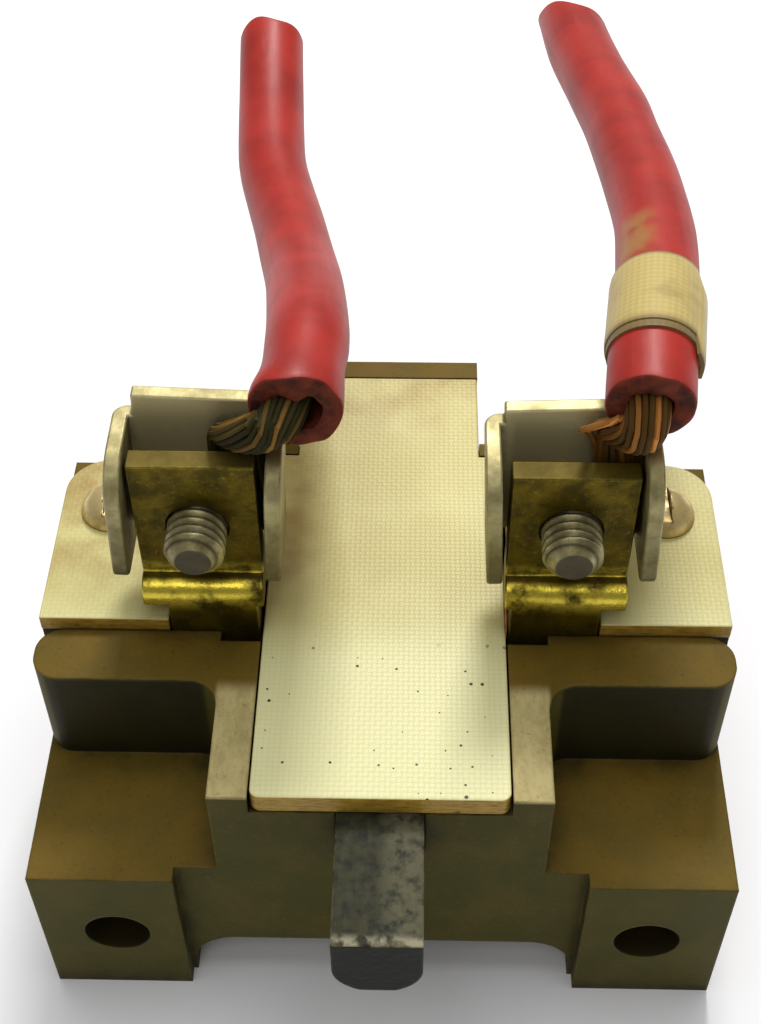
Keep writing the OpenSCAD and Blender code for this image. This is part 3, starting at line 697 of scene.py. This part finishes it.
fleck = sums(tree, "MULTIPLY", near_front, between(tree, fleck, 0.035, 0.012))
colour = laid_over(tree, fleck, colour, paint("3A2C14"))
layers = mottle(tree, at, 1000, 3.0, 0.6, stretch=(0.8, 0.8, 4.5))
edge_colour = laid_over(tree, between(tree, layers, 0.35, 0.6), paint("9A7826"), paint("BC983C"))
edge_colour = laid_over(tree, between(tree, mottle(tree, at, 1300, 2.0, 0.5, (0.7, 0.7, 3.0)),
                                      0.68, 0.76), edge_colour, paint("46300C"))
cut_edge = between(tree, sums(tree, "ABSOLUTE", facing), 0.75, 0.45)
colour = laid_over(tree, cut_edge, colour, edge_colour)
rub = rubbed(tree, at, 0.0003, 1100.0, 0.6)["Mask"]
colour = laid_over(tree, rub, colour, paint("8A6A22"))
colour, dirt_and_shade = dirtied_and_shaded(tree, at, colour, "6E5428", 0.5, reach=0.002, scale=500.0)
roughness = sums(tree, "SUBTRACT", 0.52, sums(tree, "MULTIPLY", weave["Height"], 0.14))
dress(tree, shader, colour, roughness, weave["Height"], 0.000012)
cover = eased("guide_cover", "channel_cover", cream_laminate, 0.00016)
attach(cover, "base")
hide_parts("channel_cover")
for side in ("left", "right"):
    board = eased(side + "_laminate_board", side + "_terminal_board", cream_laminate, 0.00014)
    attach(board, "base")
    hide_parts(side + "_terminal_board")

# ---- Board screws -----------------------------------------------------------------------------
# A slotted round-head brass screw holds each board to the deck; turned, dull and tarnished.
board_brass, tree, shader, at = new_finish("board_screw_brass")
tarnish = between(tree, mottle(tree, at, 620, 5.0), 0.36, 0.66)
colour = laid_over(tree, tarnish, paint("E8D498"), paint("C2AA6E"))
colour = dirtied_and_shaded(tree, at, colour, "4A3C20", 0.9, reach=0.0012)[0]
turned = mottle(tree, at, 1500, 3.0, stretch=(1.0, 0.25, 1.0))
dress(tree, shader, colour, sums(tree, "ADD", sums(tree, "MULTIPLY", tarnish, 0.22), 0.3), turned,
      0.00003, sums(tree, "SUBTRACT", 0.7, sums(tree, "MULTIPLY", tarnish, 0.2)))
for side in ("left", "right"):
    screw = eased(side + "_round_screw", side + "_board_screw", board_brass, 0.0001, 2, 34)
    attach(screw, "base")
    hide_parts(side + "_board_screw")

# ---- Plunger ----------------------------------------------------------------------------------
# A black moulded bar with a rounded keel that slides in the guide channel. Its top is rubbed
# grey, its right side is paler, and the top front edge is chipped.
black_plunger, tree, shader, at = new_finish("black_plunger", Specular_IOR_Level=0.16)
place = parts(tree, at)
facing = way_it_faces(tree)
on_top = between(tree, facing["Z"], 0.6, 0.95)
scratches = mottle(tree, at, 1500, 5.0, 0.65, stretch=(1.0, 0.16, 1.0))
scuffed = mottle(tree, at, 820, 6.0, 0.66)
colour = laid_over(tree, scuffed, paint("12150E"), paint("1E2114"))
worn_top = sums(tree, "ADD", between(tree, scuffed, 0.34, 0.62),
                sums(tree, "MULTIPLY", between(tree, scratches, 0.5, 0.7), 0.5), clamp=True)
worn_top = sums(tree, "MULTIPLY", worn_top, on_top)
colour = tinted(tree, worn_top, 0.8, colour, "38371E")
right_half = sums(tree, "MULTIPLY", between(tree, place["X"], -0.0006, 0.0016), sums(
    tree, "MULTIPLY", on_top, between(tree, scuffed, 0.3, 0.6)))
colour = tinted(tree, right_half, 0.6, colour, "66624A")
front_edge = sums(tree, "MULTIPLY", between(tree, place["Y"], -0.0084, -0.0092), on_top)
chips = sums(tree, "MULTIPLY", front_edge, between(tree, mottle(tree, at, 700, 4.0), 0.42, 0.58))
colour = tinted(tree, chips, 0.85, colour, "9A947A")
rub = rubbed(tree, at, 0.0003, 800.0, 0.75)
colour = laid_over(tree, rub["Mask"], colour, paint("6E6848"))
dress(tree, shader, colour, sums(tree, "SUBTRACT", 0.66, sums(tree, "MULTIPLY", scratches, 0.22)),
      sums(tree, "ADD", scratches, scuffed), 0.00006, normal=rub["Normal"])
plunger = eased("sliding_plunger", "plunger", black_plunger)
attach(plunger, "plunger")
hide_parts("plunger")

# ---- Return spring ----------------------------------------------------------------------------
# A compression spring of bare steel wire with closed ends, between the plunger's spigot and
# the end of the channel. It is modelled at one length, though the plunger's travel shortens it.
SPRING_FROM, SPRING_TO, SPRING_R, WIRE_R, TURNS = 29.85 * MM, 47.65 * MM, 2.45 * MM, 0.35 * MM, 9.5
SPRING_Z = 13.8 * MM
turn = np.linspace(0, TURNS, int(TURNS * 30))
closed = WIRE_R * 2.05
open_pitch = (SPRING_TO - SPRING_FROM - 2 * closed) / (TURNS - 2)
rise = SPRING_FROM + closed * np.clip(turn, 0, 1) + open_pitch * np.clip(turn - 1, 0, TURNS - 2) \
    + closed * np.clip(turn - (TURNS - 1), 0, 1)
beta = np.linspace(0, 2 * pi, 10, endpoint=False)
out = SPRING_R + WIRE_R * np.cos(beta)[None]
coil = np.stack([out * np.cos(2 * pi * turn)[:, None],
                 rise[:, None] + WIRE_R * np.sin(beta)[None],
                 SPRING_Z + out * np.sin(2 * pi * turn)[:, None]], axis=-1)
spring_steel, tree, shader, at = new_finish("spring_steel")
drawn = mottle(tree, at, 1800, 4.0)
dress(tree, shader,
      laid_over(tree, between(tree, drawn, 0.4, 0.7), paint("A7A69C"), paint("6E6C62")),
      sums(tree, "ADD", sums(tree, "MULTIPLY", drawn, 0.25), 0.22), drawn, 0.00002,
      sums(tree, "SUBTRACT", 1.0, sums(tree, "MULTIPLY", drawn, 0.2)))
spring = piece("plunger_return_spring", surface("plunger_return_spring", [coil]), spring_steel)
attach(spring, "base")
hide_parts("return_spring")
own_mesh(spring)

# ---- Blade, pin, jaws -------------------------------------------------------------------------
# Hidden in the moulding: a rolled copper blade held in the plunger by a steel pin, and at each
# side a bronze jaw with its rivet and a steel spring clip that closes it on the blade.
blade_copper, tree, shader, at = new_finish("blade_copper")
rolled = mottle(tree, at, 1400, 4.0, 0.6, stretch=(0.15, 1.0, 1.0))
dress(tree, shader, laid_over(tree, rolled, paint("7E4A2C"), paint("5E3418")),
      sums(tree, "ADD", sums(tree, "MULTIPLY", rolled, 0.2), 0.24), rolled, 0.00003,
      sums(tree, "SUBTRACT", 1.0, sums(tree, "MULTIPLY", rolled, 0.1)))
jaw_bronze, tree, shader, at = new_finish("jaw_bronze")
sheet = mottle(tree, at, 900, 5.0, 0.6)
colour = laid_over(tree, between(tree, sheet, 0.4, 0.7), paint("C99A58"), paint("9A7438"))
colour = dirtied_and_shaded(tree, at, colour, "4E3A1C", 0.6)[0]
dress(tree, shader, colour, sums(tree, "ADD", sums(tree, "MULTIPLY", sheet, 0.25), 0.25), sheet,
      0.00003, sums(tree, "SUBTRACT", 1.0, sums(tree, "MULTIPLY", sheet, 0.15)))
for node_name, material in [("knife_blade", blade_copper), ("blade_pin", spring_steel)] + [
        (side + name, finish) for side in ("left", "right") for name, finish in (
            ("_blade_jaw", jaw_bronze), ("_jaw_rivet", jaw_bronze), ("_jaw_spring", spring_steel))]:
    for held in frame["nodes"][node_name].material_slots:
        held.material = material

# ---- Contact strips ---------------------------------------------------------------------------
# Each is a heavy brass strip that rises out of its chamber, bends back over the board's edge
# and stands up as the plate that the clamp screw is tapped into. Tarnished olive, with the edges
# rubbed bright and a painted highlight on the front of the bend.
tarnished_brass, tree, shader, at = new_finish("tarnished_brass")
place = parts(tree, at)
facing = way_it_faces(tree)
tarnish = mottle(tree, at, 420, 6.0, 0.65)
colour = laid_over(tree, between(tree, tarnish, 0.36, 0.64), paint("6C5C0C"), paint("483D05"))
fine = mottle(tree, at, 2600, 3.0, 0.7)
colour = tinted(tree, between(tree, fine, 0.6, 0.72), 0.4, colour, "A8983E")
# Painted highlight: the front of the bend is painted bright brass where it is less tarnished.
painted_bend_highlight = sums(tree, "MULTIPLY", between(tree, place["Z"], 0.0216, 0.0232),
            between(tree, place["Z"], 0.0262, 0.0248))
painted_bend_highlight = sums(tree, "MULTIPLY", painted_bend_highlight, between(tree, facing["Y"], -0.2, -0.5))
painted_bend_highlight = sums(tree, "MULTIPLY", painted_bend_highlight, between(tree, tarnish, 0.66, 0.4))
on_top = sums(tree, "MULTIPLY", between(tree, facing["Z"], 0.6, 0.9),
              between(tree, place["Z"], 0.030, 0.033))
colour = tinted(tree, on_top, 0.7, colour, "6A5A12")
rub = rubbed(tree, at, 0.0003, 1200.0, 0.8)["Mask"]
# bright joins the painted highlight on the bend with the rubbed edges, which are real wear.
bright = sums(tree, "MAXIMUM", painted_bend_highlight, rub)
colour = laid_over(tree, bright, colour, paint("E4CE48"))
colour, dirt_and_shade = dirtied_and_shaded(tree, at, colour, "2E2408", 0.45, reach=0.002)
roughness = sums(tree, "SUBTRACT", sums(tree, "ADD", sums(tree, "MULTIPLY", tarnish, 0.35), 0.24),
                 sums(tree, "MULTIPLY", bright, 0.12))
dress(tree, shader, colour, sums(tree, "ADD", roughness, sums(tree, "MULTIPLY", on_top, 0.3)),
      sums(tree, "ADD", tarnish, sums(tree, "MULTIPLY", fine, 0.4)), 0.00006,
      sums(tree, "SUBTRACT", sums(tree, "SUBTRACT", 0.78, sums(tree, "MULTIPLY", on_top, 0.4)),
           sums(tree, "MULTIPLY", dirt_and_shade, 0.5)))
for side in ("left", "right"):
    strip = eased(side + "_brass_strip", side + "_contact_strip", tarnished_brass, 0.00016)
    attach(strip, "base")
    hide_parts(side + "_contact_strip")

# ---- Wire saddles -----------------------------------------------------------------------------
# A folded steel saddle straddles each strip and squeezes the strands against its back: a plate
# with a tab above and a wing folded forward on each side. Dull plating, dirty in the corners.
plated_steel, tree, shader, at = new_finish("plated_steel")
facing = way_it_faces(tree)
dull = mottle(tree, at, 380, 6.0, 0.65)
fine = mottle(tree, at, 1900, 4.0, 0.7)
colour = laid_over(tree, between(tree, dull, 0.34, 0.66), paint("B4AA78"), paint("8C8252"))
colour = tinted(tree, between(tree, fine, 0.56, 0.7), 0.4, colour, "6E6544")
place = parts(tree, at)
# Painted light: the front face of the back plate is painted pale, in place of light from the front.
painted_back_plate_light = sums(tree, "MULTIPLY", between(tree, facing["Y"], -0.6, -0.9),
                  between(tree, place["Y"], 0.019, 0.021))
colour = tinted(tree, painted_back_plate_light, 0.8, colour, "DCD0A0")
# The wings are painted darker towards their lower ends.
low_wing = sums(tree, "MULTIPLY", between(tree, place["Z"], 0.0345, 0.0275),
                between(tree, mottle(tree, at, 260), 0.2, 0.5))
colour = tinted(tree, low_wing, 0.75, colour, "50461C")
rub = rubbed(tree, at, 0.0003, 900.0, 0.9)["Mask"]
colour = laid_over(tree, rub, colour, paint("E2DECF"))
colour, dirt_and_shade = dirtied_and_shaded(tree, at, colour, "39301C", 0.8, reach=0.0012)
dress(tree, shader, colour, sums(tree, "ADD", sums(tree, "MULTIPLY", dull, 0.3), 0.28),
      sums(tree, "ADD", dull, sums(tree, "MULTIPLY", fine, 0.5)), 0.00004,
      sums(tree, "SUBTRACT", 0.42, sums(tree, "MULTIPLY", dirt_and_shade, 0.3)))
for side in ("left", "right"):
    saddle = eased(side + "_clamp_saddle", side + "_wire_saddle", plated_steel, 0.0002, 3)
    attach(saddle, side + "_clamp")
    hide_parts(side + "_wire_saddle")

# ---- Lock washers -----------------------------------------------------------------------------
# A split spring washer of steel under each clamp screw's head, its two ends sprung apart.
screw_steel, tree, shader, at = new_finish("screw_steel")
dull = mottle(tree, at, 700, 5.0, 0.62)
colour = laid_over(tree, between(tree, dull, 0.36, 0.66), paint("A89E72"), paint("7C734A"))
rub = rubbed(tree, at, 0.0002, 1200.0, 0.8)["Mask"]
colour = laid_over(tree, rub, colour, paint("ECE8DA"))
groove = add(tree, "Attribute", attribute_name="groove").outputs["Fac"]
# The thread valleys and the end of the tip are painted dark.
colour = tinted(tree, groove, 0.9, colour, "322A0C")
colour, dirt_and_shade = dirtied_and_shaded(tree, at, colour, "3E341E", 1.0, reach=0.0009)
dress(tree, shader, colour, sums(tree, "ADD", sums(tree, "MULTIPLY", dull, 0.28), 0.24), dull,
      0.00004, sums(tree, "SUBTRACT", 0.72, sums(tree, "MULTIPLY", sums(
          tree, "MAXIMUM", dirt_and_shade, groove), 0.5)))
SCREW_X, SCREW_Z = 14.6 * MM, 29.9 * MM
WASHER_Y, WASHER_T = 24.87, 1.06    # its front face and its thickness, in millimetres
for side, x in (("left", -SCREW_X), ("right", SCREW_X)):
    # angle runs round the split ring; the section is a rectangle with eased corners
    angle = np.linspace(radians(97), radians(443), 64)[:, None]
    section = np.array([[2.65, 0.04], [2.57, 0.12], [2.57, 0.88], [2.65, 0.96], [3.98, 0.96],
                        [4.08, 0.88], [4.08, 0.12], [3.98, 0.04]])
    ring_r = section[None, :, 0] * MM
    ring_y = (WASHER_Y + WASHER_T * section[None, :, 1]) * MM
    grid = np.stack([x + ring_r * np.cos(angle), ring_y + 0 * angle,
                     SCREW_Z + ring_r * np.sin(angle)], axis=-1)
    name = side + "_split_washer"
    washer = piece(name, surface(name, [grid]), screw_steel)
    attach(washer, side + "_clamp")
    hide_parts(side + "_lock_washer")

# ---- Clamp screws -----------------------------------------------------------------------------
# A slotted steel machine screw runs forward through each saddle and is tapped through the
# brass plate; its chamfered, threaded end stands out in front. Zinc plated.
PITCH, CREST, THREAD_DEPTH, TIP_R = 0.794 * MM, 2.4 * MM, 0.3 * MM, 1.4 * MM
TIP_Y, HEAD_Y = 15.5 * MM, 25.95 * MM
for side, x in (("left", -SCREW_X), ("right", SCREW_X)):
    # the radius is the crest less a thread's depth times a triangle wave of (y / pitch - turn),
    # and no more than the cone of the chamfer allows at the tip
    y = np.arange(TIP_Y, HEAD_Y + 0.3 * MM, PITCH / 12)[:, None]
    around = np.linspace(0, 2 * pi, 56, endpoint=False)[None]
    wave = np.abs((y / PITCH - around / (2 * pi)) % 1.0 * 2 - 1)
    deep = np.clip(wave * 1.3 - 0.2, 0, 1)
    radius = np.minimum(CREST - THREAD_DEPTH * deep, TIP_R + (y - TIP_Y) * 1.05)
    groove = np.maximum(deep ** 3, y < TIP_Y + 0.02 * MM)
    rod = np.stack([x + radius * np.cos(around), y + 0 * around,
                    SCREW_Z + radius * np.sin(around)], axis=-1)
    name = side + "_machine_screw"
    mesh = surface(name, [rod], marks={"groove": [groove]})
    head = merged(side + "_clamp_screw")
    bmesh.ops.bisect_plane(head, geom=head.verts[:] + head.edges[:] + head.faces[:],
                           plane_co=(0, HEAD_Y + 0.02 * MM, 0), plane_no=(0, 1, 0),
                           clear_inner=True)
    bmesh.ops.holes_fill(head, edges=[e for e in head.edges if e.is_boundary], sides=0)
    crisp = [e for e in head.edges if len(e.link_faces) == 2 and e.calc_face_angle() > radians(34)]
    bmesh.ops.bevel(head, geom=crisp, offset=0.00012, segments=2, profile=0.5, affect="EDGES",
                    clamp_overlap=True)
    head.from_mesh(mesh)
    head.to_mesh(mesh)
    head.free()
    if "custom_normal" in mesh.attributes:
        mesh.attributes.remove(mesh.attributes["custom_normal"])
    screw = piece(name, mesh, screw_steel)
    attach(screw, side + "_screw")
    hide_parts(side + "_clamp_screw")
